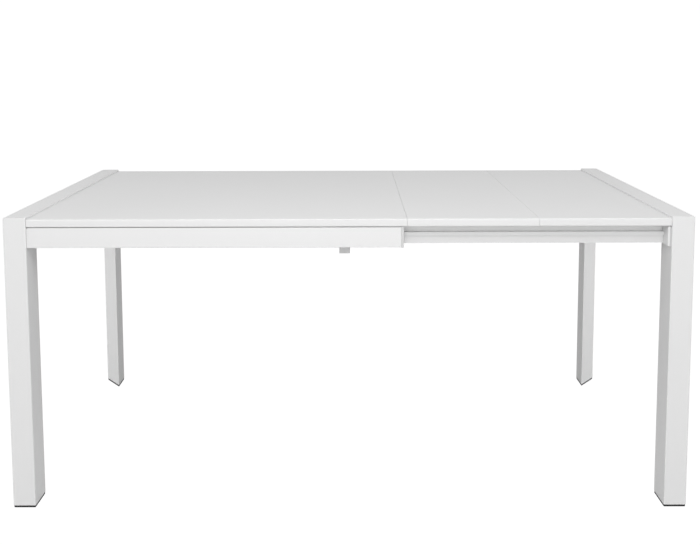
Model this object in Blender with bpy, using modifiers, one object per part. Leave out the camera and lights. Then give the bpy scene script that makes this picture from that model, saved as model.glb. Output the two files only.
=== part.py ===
"""An extendable dining table, drawn out to its full length with its two loose leaves in place.

Each end is a portal: two three-cornered legs and a three-cornered head beam, mitred together. The left
portal, the aprons and the fixed top are one frame. The right portal draws out on two rails that run
inside the aprons, and the leaves rest on those rails. Lengths are metres, +X runs along the table to
the moving end, +Y to the back and +Z up, from the floor under the middle of the drawn-out table.
"""

import math

import bmesh
import bpy
from mathutils import Vector

# Overall sizes
TABLE_DEPTH = 0.800  # over the legs' outer faces
TABLE_HEIGHT = 0.750  # floor to the top of the portals
FIXED_TOP_LENGTH = 0.946
LEAF_LENGTH = 0.327
LEAF_COUNT = 2

# Fits
TOUCH = 0.0003  # between pieces that rest on or are fixed to each other
RUNNING = 0.0005  # between pieces that slide past each other
PANEL_GAP = 0.0005  # between one panel and the next, and between a panel and a portal

# Portals
LEG_WIDTH = 0.057  # along the table, over the rounded edge
LEG_DEPTH = 0.066  # across the table, and down from the top of the head beam, over the rounded edge
LEG_WALL = 0.002
OUTER_EDGE_RADIUS = 0.004
INNER_EDGE_RADIUS = 0.002
BORE_EDGE_RADIUS = 0.001
ARC_STEPS = 4

# Feet
FOOT_SOLE = 0.005
FOOT_INSET = 0.0005
FOOT_PLUG = 0.020

# Plates inside the mitred corners
CORNER_PLATE = 0.005
CORNER_OFFSET = 0.007
CORNER_ARM_WIDTH = 0.024
CORNER_ARM_LENGTH = 0.110

# Panels
PANEL_THICKNESS = 0.020
PANEL_STEP = 0.005  # from the portals' tops down to the panels
PANEL_SETBACK = 0.002  # from the legs' outer faces
PANEL_EDGE_RADIUS = 0.003
JOINT_ARRIS = 0.0004  # the small rounding where panels meet each other and the portals
BEVEL_STEPS = 3

# Aprons, which are also the rails' guides
APRON_HEIGHT = 0.051
APRON_SETBACK = 0.004  # from the legs' outer faces
APRON_GAP = 0.0015  # from the panels down to the aprons
APRON_WALL = 0.0025
APRON_EDGE_RADIUS = 0.0015
APRON_FLOOR = 0.046  # how far in the floor of an apron reaches
APRON_FLOOR_LIP = 0.008
APRON_ROOF = 0.030  # how far in its roof reaches
APRON_SHORTER = 0.014  # than the fixed top, at the mouth

# Rails, measured in from an apron's face and up from its lower edge
RAIL_LIP_FRONT = 0.026
RAIL_BOX_FRONT = 0.032
RAIL_WEB_FRONT = 0.038
RAIL_BACK = 0.043
RAIL_LIP_LOW = 0.0238
RAIL_LIP_HIGH = 0.033
RAIL_WALL = 0.002
RAIL_EDGE_RADIUS = 0.0008
RAIL_OVERLAP = 0.155  # how much of a rail stays in its apron when drawn out

# Plates and caps
MOUTH_CAP = 0.006
MOUTH_CAP_PROUD = 0.0008
APRON_PLATE = 0.003
APRON_PLATE_INSET = 0.001  # from the apron's face and roof
RAIL_PLATE = 0.0055
RAIL_PLATE_DEPTH = 0.080
RAIL_PLATE_SETBACK = 0.005  # from the legs' outer faces
RAIL_SHIM_INSET = 0.001  # from the edges of a rail's plate
RAIL_TO_CAP = 0.0005  # from a rail's plate to the mouth cap when the table is closed

# Glides
MOUTH_GLIDE_LENGTH = 0.070
RAIL_GLIDE_LENGTH = 0.025

# Bars across the table
TIE_WIDTH = 0.027
TIE_HEIGHT = 0.030
TIE_WALL = 0.002
TIE_DROP = 0.027  # from an apron's lower edge to the underside of the tie bar
TIE_TO_APRON = 0.001
TIE_PLUG = 0.003
TIE_PLUG_TONGUE = 0.012
HANGER_WALL = 0.003
HANGER_FOOT = 0.028
CROSS_WIDTH = 0.030
CROSS_HEIGHT = 0.025
CROSS_WALL = 0.002
CROSS_TO_MOUTH = 0.008
BRACKET_ARM = 0.032
BRACKET_WALL = 0.003

# Spacers between the aprons and the fixed top, and battens that keep the leaves between the rails
SPACER_RADIUS = 0.009
SPACER_FROM_END = 0.090  # of an apron, where the first and the last one are
BATTEN_DEPTH = 0.018
BATTEN_HEIGHT = 0.020
BATTEN_END = 0.068  # from the ends of a leaf

# Screws that hold the rails' plates to the moving portal
SCREW_RADIUS = 0.0025
SCREW_HOLE_RADIUS = 0.0029
DRILL_START = 0.010  # how far ahead of a plate its drill starts
SCREW_HEAD_RADIUS = 0.0045
SCREW_HEAD = 0.003
SCREW_GRIP = 0.012  # how far a screw reaches into the portal
SCREW_DROP = 0.040  # below the top of the portal
SCREW_FIRST = 0.058  # in from the legs' outer faces
SCREW_PITCH = 0.018
ROUND_SIDES = 24

# Drawing
MERGE = 0.000001  # points nearer than this are one point
TURNING_MERGE = 0.00001
SIZE_ROUNDS = 20  # enough for sharp_size to settle

# Places along the table, from its moving end inwards
TRAVEL = LEAF_COUNT * (LEAF_LENGTH + PANEL_GAP)
LENGTH = 2 * LEG_WIDTH + FIXED_TOP_LENGTH + 2 * PANEL_GAP + TRAVEL
X_LEFT = -LENGTH / 2 + LEG_WIDTH  # the left portal's inner face
X_RIGHT = LENGTH / 2 - LEG_WIDTH  # the right portal's inner face
X_TOP_START = X_LEFT + PANEL_GAP
X_TOP_END = X_TOP_START + FIXED_TOP_LENGTH
X_APRON_START = X_LEFT + 2 * TOUCH + APRON_PLATE
X_CAP_END = X_TOP_END - (APRON_SHORTER - MOUTH_CAP)
X_APRON_END = X_CAP_END - MOUTH_CAP - TOUCH
X_RAIL_PLATE = X_CAP_END + TRAVEL + RAIL_TO_CAP
X_RAIL_END = X_RAIL_PLATE - TOUCH
X_RAIL_START = X_APRON_END - RAIL_OVERLAP
X_TIE = X_RAIL_START + TIE_WIDTH / 2

# Places up and across
Z_PANEL = TABLE_HEIGHT - PANEL_STEP - PANEL_THICKNESS  # the panels' underside
Z_APRON = Z_PANEL - APRON_GAP - APRON_HEIGHT  # the aprons' lower edge
Y_OUTER = TABLE_DEPTH / 2
Y_APRON = Y_OUTER - APRON_SETBACK
RAIL_LOW = APRON_WALL + TOUCH
RAIL_TOP = Z_PANEL - Z_APRON - TOUCH

SIDES = (("front", -1), ("rear", 1))


def clear_scene():
    """Remove whatever the scene holds."""
    for thing in list(bpy.data.objects):
        bpy.data.objects.remove(thing, do_unlink=True)


def new_collection(name):
    """Return a new collection linked to the scene."""
    collection = bpy.data.collections.new(name)
    bpy.context.scene.collection.children.link(collection)
    return collection


def new_material(name, color, roughness, metallic=0.0):
    """Return a Principled material."""
    material = bpy.data.materials.new(name)
    material.use_nodes = True
    shader = material.node_tree.nodes["Principled BSDF"]
    shader.inputs["Base Color"].default_value = (*color, 1.0)
    shader.inputs["Roughness"].default_value = roughness
    shader.inputs["Metallic"].default_value = metallic
    material.diffuse_color = (*color, 1.0)
    return material


def new_empty(name, location, parent=None):
    """Return an empty that the pieces of one moving body hang from."""
    empty = bpy.data.objects.new(name, None)
    TABLE.objects.link(empty)
    empty.location = location
    if parent:
        attach(empty, parent)
    return empty


def attach(thing, parent):
    """Parent a thing without moving it."""
    bpy.context.view_layer.update()
    thing.parent = parent
    thing.matrix_parent_inverse = parent.matrix_world.inverted()


def finish(thing, body, material):
    """Give a piece its material and hang it from its body's empty."""
    thing.data.materials.clear()
    thing.data.materials.append(material)
    attach(thing, body)
    return thing


def mesh_object(name, bm, collection):
    """Return a new object that holds what a bmesh holds, with its faces pointing out."""
    bmesh.ops.recalc_face_normals(bm, faces=bm.faces)
    mesh = bpy.data.meshes.new(name)
    bm.to_mesh(mesh)
    bm.free()
    thing = bpy.data.objects.new(name, mesh)
    collection.objects.link(thing)
    return thing


def rounded(corners, radii):
    """Return the outline through the corners, each one rounded to its own radius."""
    outline = []
    for index, corner in enumerate(corners):
        point = Vector(corner)
        before = (Vector(corners[index - 1]) - point).normalized()
        after = (Vector(corners[(index + 1) % len(corners)]) - point).normalized()
        radius = radii[index]
        if radius == 0:
            outline.append(point)
            continue
        half = before.angle(after) / 2
        centre = point + (before + after).normalized() * radius / math.sin(half)
        reach = radius / math.tan(half)
        start = point + before * reach - centre
        end = point + after * reach - centre
        turn = math.atan2(start.cross(end), start.dot(end))
        first = math.atan2(start.y, start.x)
        for step in range(ARC_STEPS + 1):
            angle = first + turn * step / ARC_STEPS
            outline.append(centre + Vector((math.cos(angle), math.sin(angle))) * radius)
    return outline


def flat_solid(name, outlines, thickness, collection=None):
    """Return a mesh of flat outlines, the first one with the others as its holes, given a thickness."""
    curve = bpy.data.curves.new(name, "CURVE")
    curve.dimensions = "2D"
    curve.fill_mode = "BOTH"
    curve.extrude = thickness / 2
    for outline in outlines:
        spline = curve.splines.new("POLY")
        spline.points.add(len(outline) - 1)
        for point, place in zip(spline.points, outline):
            point.co = (place[0], place[1], 0, 1)
        spline.use_cyclic_u = True
    drawn = bpy.data.objects.new(name + "_outline", curve)
    TABLE.objects.link(drawn)
    drawn_again = drawn.evaluated_get(bpy.context.evaluated_depsgraph_get())
    mesh = bpy.data.meshes.new_from_object(drawn_again)
    bm = bmesh.new()
    bm.from_mesh(mesh)
    bmesh.ops.remove_doubles(bm, verts=bm.verts, dist=MERGE)
    bpy.data.meshes.remove(mesh)
    bpy.data.objects.remove(drawn)
    bpy.data.curves.remove(curve)
    return mesh_object(name, bm, collection or TABLE)


def profile(name, outlines, x_low, x_high, side):
    """Return an extrusion along X. Its outlines are measured in from an apron's face and up from its edge."""
    turned = [[(-side * u, w) for u, w in outline] for outline in outlines]
    thing = flat_solid(name, turned, x_high - x_low)
    thing.rotation_euler = (math.pi / 2, 0, math.pi / 2)
    thing.location = ((x_low + x_high) / 2, side * Y_APRON, Z_APRON)
    return thing


def rectangle(low, high):
    """Return a rectangle's corners."""
    return [low, (high[0], low[1]), high, (low[0], high[1])]


def block(name, low, high, collection=None):
    """Return a box between two corners, with its origin at its centre."""
    bm = bmesh.new()
    bmesh.ops.create_cube(bm, size=1)
    size = Vector(high) - Vector(low)
    bmesh.ops.scale(bm, vec=size, verts=bm.verts)
    thing = mesh_object(name, bm, collection or TABLE)
    thing.location = (Vector(low) + Vector(high)) / 2
    return thing


def rod(name, radius, x_low, x_high, y, z, collection):
    """Return a round rod along X."""
    bm = bmesh.new()
    bmesh.ops.create_cone(
        bm, cap_ends=True, segments=ROUND_SIDES, radius1=radius, radius2=radius, depth=x_high - x_low
    )
    thing = mesh_object(name, bm, collection)
    thing.rotation_euler = (0, math.pi / 2, 0)
    thing.location = ((x_low + x_high) / 2, y, z)
    return thing


def combine(thing, other, operation, solver="EXACT"):
    """Cut another object out of a thing, or join it on, and keep the other one as a guide."""
    modifier = thing.modifiers.new(operation.title(), "BOOLEAN")
    modifier.operation = operation
    modifier.solver = solver
    modifier.object = other
    other.hide_render = True
    other.display_type = "WIRE"
    attach(other, thing)


def sharp_size():
    """Return the legs' width and depth as they would be with sharp edges."""
    width, depth = LEG_WIDTH, LEG_DEPTH
    for _ in range(SIZE_ROUNDS):
        width_half_angle = math.atan2(depth, width) / 2
        depth_half_angle = math.atan2(width, depth) / 2
        width = LEG_WIDTH + OUTER_EDGE_RADIUS * (1 / math.tan(width_half_angle) - 1)
        depth = LEG_DEPTH + INNER_EDGE_RADIUS * (1 / math.tan(depth_half_angle) - 1)
    return width, depth


def triangle(inset, radii):
    """Return the legs' section: its square corner at the origin, its width along X and its depth along Y."""
    width, depth = sharp_size()
    inradius = (width + depth - math.hypot(width, depth)) / 2
    share = 1 - inset / inradius
    near = inradius - inradius * share
    far_x = inradius + (width - inradius) * share
    far_y = inradius + (depth - inradius) * share
    return rounded([(near, near), (far_x, near), (near, far_y)], radii)


def tube_section():
    """Return the outer and inner outlines of a leg or a head beam."""
    outer = triangle(0, (INNER_EDGE_RADIUS, OUTER_EDGE_RADIUS, INNER_EDGE_RADIUS))
    return [outer, triangle(LEG_WALL, (BORE_EDGE_RADIUS,) * 3)]


def make_leg(end, end_side, side_name, side):
    """Make one leg, mitred at the top."""
    low = FOOT_SOLE + TOUCH
    section = [[(end_side * x, -side * y) for x, y in outline] for outline in tube_section()]
    thing = flat_solid(f"{side_name}_{end}_leg", section, TABLE_HEIGHT - low)
    middle = (TABLE_HEIGHT + low) / 2
    for vertex in thing.data.vertices:
        if vertex.co.z > 0:
            vertex.co.z -= abs(vertex.co.y) + TOUCH * math.sqrt(2)
    thing.location = (end_side * X_RIGHT, side * Y_OUTER, middle)
    return thing


def make_head_beam(end, end_side):
    """Make one portal's head beam, mitred at both ends."""
    section = [[(end_side * x, -y) for x, y in outline] for outline in tube_section()]
    thing = flat_solid(f"{end}_portal_beam", section, TABLE_DEPTH)
    for vertex in thing.data.vertices:
        vertex.co.z -= math.copysign(abs(vertex.co.y), vertex.co.z)
    thing.rotation_euler = (math.pi / 2, 0, 0)
    thing.location = (end_side * X_RIGHT, 0, TABLE_HEIGHT)
    return thing


def make_foot(end, end_side, side_name, side):
    """Make one foot: a sole under the leg and a plug inside it."""
    bore_radii = (BORE_EDGE_RADIUS,) * 3

    def outline(inset, radii):
        return [(end_side * x, -side * y) for x, y in triangle(inset, radii)]

    sole_radii = (INNER_EDGE_RADIUS, OUTER_EDGE_RADIUS, INNER_EDGE_RADIUS)
    name = f"{side_name}_{end}_foot"
    sole = flat_solid(name, [outline(FOOT_INSET, sole_radii)], FOOT_SOLE)
    sole.location = (end_side * X_RIGHT, side * Y_OUTER, FOOT_SOLE / 2)
    height = FOOT_PLUG + FOOT_SOLE / 2
    plug = flat_solid(name + "_plug", [outline(LEG_WALL + RUNNING, bore_radii)], height, GUIDES)
    plug.location = (end_side * X_RIGHT, side * Y_OUTER, FOOT_SOLE / 2 + height / 2)
    combine(sole, plug, "UNION")
    return sole


def make_corner_plate(end, end_side, side_name, side):
    """Make the L-shaped plate inside one mitred corner."""
    near = CORNER_OFFSET
    far = near + CORNER_ARM_WIDTH
    reach = near + CORNER_ARM_LENGTH
    corners = [(near, near), (reach, near), (reach, far), (far, far), (far, reach), (near, reach)]
    outline = [(-side * u, -v) for u, v in corners]
    thing = flat_solid(f"{side_name}_{end}_corner_plate", [outline], CORNER_PLATE)
    thing.rotation_euler = (math.pi / 2, 0, math.pi / 2)
    inside = X_RIGHT + LEG_WALL + TOUCH + CORNER_PLATE / 2
    thing.location = (end_side * inside, side * Y_OUTER, TABLE_HEIGHT)
    return thing


def make_portal(end, end_side, body):
    """Make one end of the table: its head beam, legs, feet and corner plates."""
    finish(make_head_beam(end, end_side), body, WHITE_LACQUER)
    for side_name, side in SIDES:
        finish(make_leg(end, end_side, side_name, side), body, WHITE_LACQUER)
        finish(make_foot(end, end_side, side_name, side), body, BLACK_NYLON)
        finish(make_corner_plate(end, end_side, side_name, side), body, BRIGHT_STEEL)


def make_panel(name, x_low, x_high, body):
    """Make one panel of the top, with rounded long edges and almost sharp ends."""
    half_depth = Y_OUTER - PANEL_SETBACK
    low = (x_low, -half_depth, Z_PANEL)
    thing = block(name, low, (x_high, half_depth, Z_PANEL + PANEL_THICKNESS))
    bm = bmesh.new()
    bm.from_mesh(thing.data)
    weight = bm.edges.layers.float.new("bevel_weight_edge")
    for edge in bm.edges:
        run = edge.verts[1].co - edge.verts[0].co
        along_table = abs(run.x) > max(abs(run.y), abs(run.z))
        edge[weight] = 1 if along_table else JOINT_ARRIS / PANEL_EDGE_RADIUS
    bm.to_mesh(thing.data)
    bm.free()
    bevel = thing.modifiers.new("Edges", "BEVEL")
    bevel.limit_method = "WEIGHT"
    bevel.width = PANEL_EDGE_RADIUS
    bevel.segments = BEVEL_STEPS
    return finish(thing, body, WHITE_PANEL)


def apron_outline():
    """Return an apron's section: a face, a roof, a rib over the rail's lip and a floor with a lip."""
    wall, height = APRON_WALL, APRON_HEIGHT
    rib_low = RAIL_LIP_HIGH + RUNNING
    rib_end = RAIL_WEB_FRONT - 2 * RUNNING
    corners = [
        (0, 0),
        (0, height),
        (APRON_ROOF, height),
        (APRON_ROOF, height - wall),
        (wall, height - wall),
        (wall, rib_low + wall),
        (rib_end, rib_low + wall),
        (rib_end, rib_low),
        (wall, rib_low),
        (wall, wall),
        (APRON_FLOOR - wall, wall),
        (APRON_FLOOR - wall, APRON_FLOOR_LIP),
        (APRON_FLOOR, APRON_FLOOR_LIP),
        (APRON_FLOOR, 0),
    ]
    radii = [APRON_EDGE_RADIUS] * 2 + [0] * (len(corners) - 2)
    return rounded(corners, radii)


def rail_outlines():
    """Return a rail's section: a hollow box below a lip, and a web that reaches up to the leaves."""
    corners = [
        (RAIL_BOX_FRONT, RAIL_LOW),
        (RAIL_BOX_FRONT, RAIL_LIP_LOW),
        (RAIL_LIP_FRONT, RAIL_LIP_LOW),
        (RAIL_LIP_FRONT, RAIL_LIP_HIGH),
        (RAIL_WEB_FRONT, RAIL_LIP_HIGH),
        (RAIL_WEB_FRONT, RAIL_TOP),
        (RAIL_BACK, RAIL_TOP),
        (RAIL_BACK, RAIL_LOW),
    ]
    edge = RAIL_EDGE_RADIUS
    radii = [edge, 0, edge, edge, 0, edge, edge, edge]
    hollow = rectangle(
        (RAIL_BOX_FRONT + RAIL_WALL, RAIL_LOW + RAIL_WALL),
        (RAIL_BACK - RAIL_WALL, RAIL_LIP_LOW),
    )
    return [rounded(corners, radii), hollow]


def mouth_cap_outline():
    """Return the section of the cap on an apron's mouth, with the way out for the rail."""
    proud = MOUTH_CAP_PROUD
    floor_top = RAIL_LOW - RUNNING
    top = APRON_HEIGHT + proud
    box_side = RAIL_BOX_FRONT - RUNNING
    lip_side = RAIL_LIP_FRONT - RUNNING
    lip_top = RAIL_LIP_HIGH + RUNNING
    web_side = RAIL_WEB_FRONT - RUNNING
    return [
        (-proud, -proud),
        (-proud, top),
        (APRON_ROOF, top),
        (APRON_ROOF, lip_top + APRON_WALL),
        (web_side, lip_top + APRON_WALL),
        (web_side, lip_top),
        (lip_side, lip_top),
        (lip_side, RAIL_LIP_LOW - RUNNING),
        (box_side, RAIL_LIP_LOW - RUNNING),
        (box_side, floor_top),
        (APRON_FLOOR, floor_top),
        (APRON_FLOOR, -proud),
    ]


def make_apron(side_name, side, body):
    """Make one apron with the plate it hangs from, its mouth cap and the glide behind the cap."""
    apron = profile(f"{side_name}_apron", [apron_outline()], X_APRON_START, X_APRON_END, side)
    finish(apron, body, WHITE_LACQUER)

    plate = rectangle((APRON_PLATE_INSET, TOUCH), (APRON_FLOOR, APRON_HEIGHT - APRON_PLATE_INSET))
    x_plate = X_LEFT + TOUCH
    plate = profile(f"{side_name}_apron_plate", [plate], x_plate, x_plate + APRON_PLATE, side)
    finish(plate, body, WHITE_LACQUER)

    cap = profile(f"{side_name}_mouth_cap", [mouth_cap_outline()], X_CAP_END - MOUTH_CAP, X_CAP_END, side)
    finish(cap, body, GREY_NYLON)

    chamber_low = (APRON_WALL + TOUCH, APRON_WALL + TOUCH)
    lip_side = RAIL_LIP_FRONT - RUNNING
    glide_top = RAIL_LIP_HIGH + RUNNING - TOUCH
    glide = rectangle(chamber_low, (lip_side, glide_top))
    x_glide = X_APRON_END - MOUTH_GLIDE_LENGTH
    glide = profile(f"{side_name}_mouth_glide", [glide], x_glide, X_APRON_END, side)
    finish(glide, body, GREY_NYLON)

    x_first, x_last = X_APRON_START + SPACER_FROM_END, X_APRON_END - SPACER_FROM_END
    for number, x in enumerate((x_first, (x_first + x_last) / 2, x_last), 1):
        y = side * (Y_APRON - APRON_ROOF / 2)
        bm = bmesh.new()
        bmesh.ops.create_cone(
            bm,
            cap_ends=True,
            segments=ROUND_SIDES,
            radius1=SPACER_RADIUS,
            radius2=SPACER_RADIUS,
            depth=APRON_GAP - 2 * TOUCH,
        )
        spacer = mesh_object(f"{side_name}_top_spacer_{number}", bm, TABLE)
        spacer.location = (x, y, Z_PANEL - APRON_GAP / 2)
        finish(spacer, body, GREY_NYLON)


def make_cross_member(body):
    """Make the fixed bar across the table near the aprons' mouths, with an angle at each end."""
    x_high = X_APRON_END - CROSS_TO_MOUTH - BRACKET_ARM
    x_low = x_high - CROSS_WIDTH
    half = Y_APRON - APRON_FLOOR - TOUCH
    outer = rectangle((x_low, 0), (x_high, CROSS_HEIGHT))
    inner = rectangle((x_low + CROSS_WALL, CROSS_WALL), (x_high - CROSS_WALL, CROSS_HEIGHT - CROSS_WALL))
    tube = flat_solid("cross_member", [outer, inner], 2 * half)
    tube.rotation_euler = (math.pi / 2, 0, 0)
    tube.location = (0, 0, Z_APRON)
    finish(tube, body, SATIN_ALUMINIUM)
    height = APRON_FLOOR_LIP - TOUCH
    near = x_high + TOUCH
    for side_name, side in SIDES:
        corners = [
            (near, half),
            (near + BRACKET_ARM, half),
            (near + BRACKET_ARM, half - BRACKET_WALL),
            (near + BRACKET_WALL, half - BRACKET_WALL),
            (near + BRACKET_WALL, half - BRACKET_ARM),
            (near, half - BRACKET_ARM),
        ]
        outline = [(x, side * y) for x, y in corners]
        angle = flat_solid(f"{side_name}_cross_angle", [outline], height)
        angle.location = (0, 0, Z_APRON + height / 2)
        finish(angle, body, BRIGHT_STEEL)


def make_rail(side_name, side, body):
    """Make one rail with its glide, and the plate, shim and screws that hold it to the moving portal."""
    rail = profile(f"{side_name}_rail", rail_outlines(), X_RAIL_START, X_RAIL_END, side)
    finish(rail, body, SATIN_ALUMINIUM)

    low = (APRON_WALL + RUNNING, APRON_WALL + RUNNING)
    high = (APRON_FLOOR - APRON_WALL - RUNNING, RAIL_LIP_HIGH)
    x_high = X_RAIL_START - TOUCH
    x_low = x_high - RAIL_GLIDE_LENGTH
    glide = profile(f"{side_name}_rail_glide", [rectangle(low, high)], x_low, x_high, side)
    finish(glide, body, GREY_NYLON)

    plate_front = Y_OUTER - RAIL_PLATE_SETBACK
    plate_back = plate_front - RAIL_PLATE_DEPTH
    plate_low = Z_APRON + MOUTH_CAP_PROUD
    plate_high = Z_APRON + APRON_HEIGHT
    x_plate_end = X_RAIL_PLATE + RAIL_PLATE

    def sorted_corners(x_low, x_high, inset):
        ys = sorted((side * (plate_front - inset), side * (plate_back + inset)))
        return (x_low, ys[0], plate_low + inset), (x_high, ys[1], plate_high - inset)

    plate = block(f"{side_name}_rail_plate", *sorted_corners(X_RAIL_PLATE, x_plate_end, 0))
    shim_corners = sorted_corners(x_plate_end + TOUCH, X_RIGHT - TOUCH, RAIL_SHIM_INSET)
    shim = block(f"{side_name}_plate_shim", *shim_corners)
    finish(plate, body, WHITE_LACQUER)
    finish(shim, body, GREY_NYLON)

    z = TABLE_HEIGHT - SCREW_DROP
    drilled = (plate, shim, bpy.data.objects["right_portal_beam"])
    for number, station in enumerate((SCREW_FIRST, SCREW_FIRST + SCREW_PITCH), 1):
        y = side * (Y_OUTER - station)
        x_low, x_high = X_RAIL_PLATE - DRILL_START, X_RIGHT + SCREW_GRIP
        drill = rod(f"{side_name}_hole_{number}", SCREW_HOLE_RADIUS, x_low, x_high, y, z, GUIDES)
        for piece in drilled:
            cut = drill.copy()
            cut.name = f"{piece.name}_{side_name}_hole_{number}"
            GUIDES.objects.link(cut)
            combine(piece, cut, "DIFFERENCE", "MANIFOLD")
        bpy.data.objects.remove(drill)
        screw = make_screw(f"{side_name}_plate_screw_{number}", x_high - X_RAIL_PLATE)
        screw.location = (X_RAIL_PLATE - TOUCH, y, z)
        finish(screw, body, BRIGHT_STEEL)


def make_screw(name, grip):
    """Make a pan-head screw along +X, turned from its profile, with its head's underside at its origin."""
    round_over = SCREW_HEAD / 3
    points = [
        (0, -SCREW_HEAD),
        (SCREW_HEAD_RADIUS - round_over, -SCREW_HEAD),
        (SCREW_HEAD_RADIUS, -SCREW_HEAD + round_over),
        (SCREW_HEAD_RADIUS, 0),
        (SCREW_RADIUS, 0),
        (SCREW_RADIUS, grip - round_over),
        (SCREW_RADIUS - round_over, grip),
        (0, grip),
    ]
    bm = bmesh.new()
    verts = [bm.verts.new((radius, 0, -along)) for radius, along in points]
    for one, other in zip(verts, verts[1:]):
        bm.edges.new((one, other))
    mesh = bpy.data.meshes.new(name)
    bm.to_mesh(mesh)
    bm.free()
    thing = bpy.data.objects.new(name, mesh)
    TABLE.objects.link(thing)
    turning = thing.modifiers.new("Turn", "SCREW")
    turning.axis = "Z"
    turning.steps = ROUND_SIDES
    turning.render_steps = ROUND_SIDES
    turning.use_merge_vertices = True
    turning.merge_threshold = TURNING_MERGE
    thing.rotation_euler = (0, -math.pi / 2, 0)
    return thing


def make_tie_bar(body):
    """Make the bar that ties the rails' inner ends, with its plugs and hangers."""
    half = Y_APRON - APRON_FLOOR - TIE_TO_APRON
    low, high = -TIE_DROP, -TIE_DROP + TIE_HEIGHT
    x_low, x_high = X_TIE - TIE_WIDTH / 2, X_TIE + TIE_WIDTH / 2
    outer = rectangle((x_low, low), (x_high, high))
    inner = rectangle((x_low + TIE_WALL, low + TIE_WALL), (x_high - TIE_WALL, high - TIE_WALL))
    bar = flat_solid("tie_bar", [outer, inner], 2 * (half - TIE_PLUG - TOUCH))
    bar.rotation_euler = (math.pi / 2, 0, 0)
    bar.location = (0, 0, Z_APRON)
    finish(bar, body, SATIN_ALUMINIUM)

    bore = TIE_WALL + RUNNING
    for side_name, side in SIDES:
        y_out, y_in = side * half, side * (half - TIE_PLUG)
        cap_low = (x_low, min(y_out, y_in), Z_APRON + low)
        plug = block(f"{side_name}_tie_plug", cap_low, (x_high, max(y_out, y_in), Z_APRON + high))
        y_start, y_end = side * (half - TIE_PLUG / 2), side * (half - TIE_PLUG - TIE_PLUG_TONGUE)
        tongue_low = (x_low + bore, min(y_start, y_end), Z_APRON + low + bore)
        tongue_high = (x_high - bore, max(y_start, y_end), Z_APRON + high - bore)
        tongue = block(f"{side_name}_tie_tongue", tongue_low, tongue_high, GUIDES)
        combine(plug, tongue, "UNION")
        finish(plug, body, GREY_NYLON)

        arm = APRON_FLOOR + TIE_TO_APRON
        arm_low = high + TOUCH
        corners = [
            (RAIL_BACK + TOUCH, APRON_FLOOR_LIP + 2 * RUNNING),
            (RAIL_BACK + TOUCH, RAIL_LIP_HIGH),
            (arm + HANGER_WALL, RAIL_LIP_HIGH),
            (arm + HANGER_WALL, arm_low + HANGER_WALL),
            (arm + HANGER_FOOT, arm_low + HANGER_WALL),
            (arm + HANGER_FOOT, arm_low),
            (arm, arm_low),
            (arm, APRON_FLOOR_LIP + 2 * RUNNING),
        ]
        hanger = profile(f"{side_name}_tie_hanger", [corners], x_low, x_high, side)
        finish(hanger, body, SATIN_ALUMINIUM)


def make_leaf(number, body):
    """Make one loose leaf with the two battens that keep it between the rails."""
    x_low = X_TOP_END + PANEL_GAP + (number - 1) * (LEAF_LENGTH + PANEL_GAP)
    x_high = x_low + LEAF_LENGTH
    make_panel(f"leaf_{number}_panel", x_low, x_high, body)
    z_high = Z_PANEL - TOUCH
    for side_name, side in SIDES:
        outer = Y_APRON - RAIL_BACK - 2 * RUNNING
        ys = sorted((side * outer, side * (outer - BATTEN_DEPTH)))
        low = (x_low + BATTEN_END, ys[0], z_high - BATTEN_HEIGHT)
        batten = block(f"leaf_{number}_{side_name}_batten", low, (x_high - BATTEN_END, ys[1], z_high))
        finish(batten, body, BATTEN_WOOD)


clear_scene()
TABLE = new_collection("Extendable Table")
GUIDES = new_collection("Guides")

WHITE_LACQUER = new_material("White lacquer", (0.86, 0.86, 0.86), 0.35)
WHITE_PANEL = new_material("White panel", (0.84, 0.84, 0.84), 0.25)
SATIN_ALUMINIUM = new_material("Satin aluminium", (0.80, 0.80, 0.80), 0.40, 0.6)
BRIGHT_STEEL = new_material("Bright steel", (0.62, 0.62, 0.62), 0.30, 1.0)
GREY_NYLON = new_material("Grey nylon", (0.62, 0.62, 0.62), 0.55)
BLACK_NYLON = new_material("Black nylon", (0.03, 0.03, 0.03), 0.60)
BATTEN_WOOD = new_material("Beech", (0.70, 0.55, 0.38), 0.60)

fixed_frame = new_empty("fixed_frame", (0, 0, 0))
moving_portal = new_empty("moving_portal", (X_RIGHT, 0, Z_APRON), fixed_frame)

make_portal("left", -1, fixed_frame)
make_panel("fixed_top", X_TOP_START, X_TOP_END, fixed_frame)
make_cross_member(fixed_frame)
make_portal("right", 1, moving_portal)
make_tie_bar(moving_portal)
for this_side_name, this_side in SIDES:
    make_apron(this_side_name, this_side, fixed_frame)
    make_rail(this_side_name, this_side, moving_portal)
for leaf_number in range(1, LEAF_COUNT + 1):
    leaf_centre = X_TOP_END + (leaf_number - 0.5) * (LEAF_LENGTH + PANEL_GAP)
    leaf_body = new_empty(f"leaf_{leaf_number}", (leaf_centre, 0, Z_PANEL), moving_portal)
    make_leaf(leaf_number, leaf_body)
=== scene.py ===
"""The looks of an extendable dining table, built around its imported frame.

Each end of the table is a mitred portal of three-cornered tube. The left portal, the aprons and the fixed
top are one frame, the right portal draws out on two rails, and two loose leaves lie on those rails.
Lengths are metres in the frame's own axes: +X runs to the moving end, +Y to the back and +Z up. What
belongs to an apron or a rail is measured in from the apron's face and up from its lower edge.
"""

import logging
import math
from collections.abc import Callable, Iterable, Sequence
from dataclasses import dataclass
from enum import Enum

import bmesh
import bpy
from mathutils import Matrix, Vector

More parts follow.
